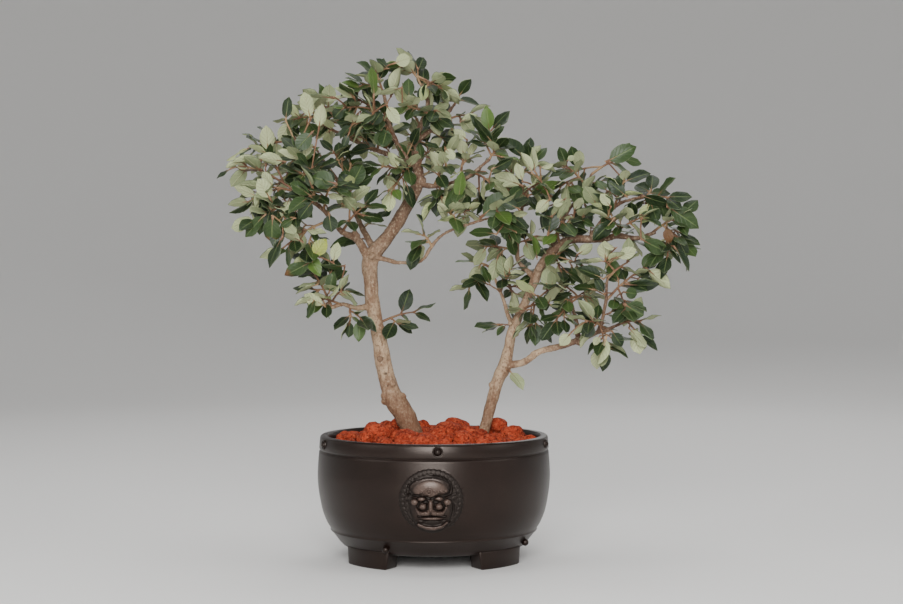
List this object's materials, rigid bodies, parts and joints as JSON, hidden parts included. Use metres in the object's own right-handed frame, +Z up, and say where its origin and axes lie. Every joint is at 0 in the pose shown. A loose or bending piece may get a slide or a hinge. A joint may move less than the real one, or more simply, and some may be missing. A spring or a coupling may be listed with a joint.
{
  "type": "cotoneaster bonsai",
  "caption": "Two slim cotoneaster trees grown as a bonsai in a round footed clay pot with lava stones on the soil.",
  "frame": {"origin": "below the middle of the whole plant, on the surface that the pot stands on", "axes": "+Z up, -Y towards the viewer of the pot's front, +X to that viewer's right"},
  "size_m": [0.4124, 0.2126, 0.4443],
  "materials": {
    "clay": "satin unglazed stoneware",
    "plastic": "matte",
    "soil": "granular",
    "lava": "rough porous",
    "bark": "rough bark",
    "foliage": "satin leaves on thin twigs"
  },
  "bodies": {
    "root": {"pot": "clay", "drain_screen": "plastic", "soil": "soil", "lava_bed": "lava", "left_wood": "bark", "right_wood": "bark", "back_bough_end": "foliage", "back_bough_mid": "foliage", "back_bough_top": "foliage", "back_right_end": "foliage", "back_right_mid": "foliage", "back_right_top": "foliage", "crown_front": "foliage", "crown_left_front": "foliage", "crown_left_side": "foliage", "crown_left_tip": "foliage", "crown_right_end": "foliage", "crown_right_first": "foliage", "crown_right_low": "foliage", "crown_right_mid": "foliage", "crown_top": "foliage", "far_left_end": "foliage", "far_left_side": "foliage", "far_left_up": "foliage", "leader_back": "foliage", "leader_front": "foliage", "left_stem_low": "foliage", "left_stem_mid": "foliage", "left_stem_top": "foliage", "long_right_end": "foliage", "long_right_first": "foliage", "long_right_up": "foliage", "low_left_drop": "foliage", "low_left_end": "foliage", "low_left_front": "foliage", "low_left_mid": "foliage", "low_left_out": "foliage", "low_left_under": "foliage", "low_left_up": "foliage", "low_right_end": "foliage", "low_right_hang": "foliage", "low_shoot": "foliage", "right_end": "foliage", "right_mid_first": "foliage", "right_mid_top": "foliage", "right_under": "foliage", "shelf_drop": "foliage", "shelf_left": "foliage", "shelf_up": "foliage", "stub_end": "foliage", "thin_twig_end": "foliage", "thin_twig_mid": "foliage", "top_right_end": "foliage", "top_right_side": "foliage", "trunk_fill": "foliage", "trunk_shoot": "foliage", "upper_right_end": "foliage", "upper_right_mid": "foliage", "upshoot_end": "foliage", "upshoot_mid": "foliage"}
  },
  "joints": []
}
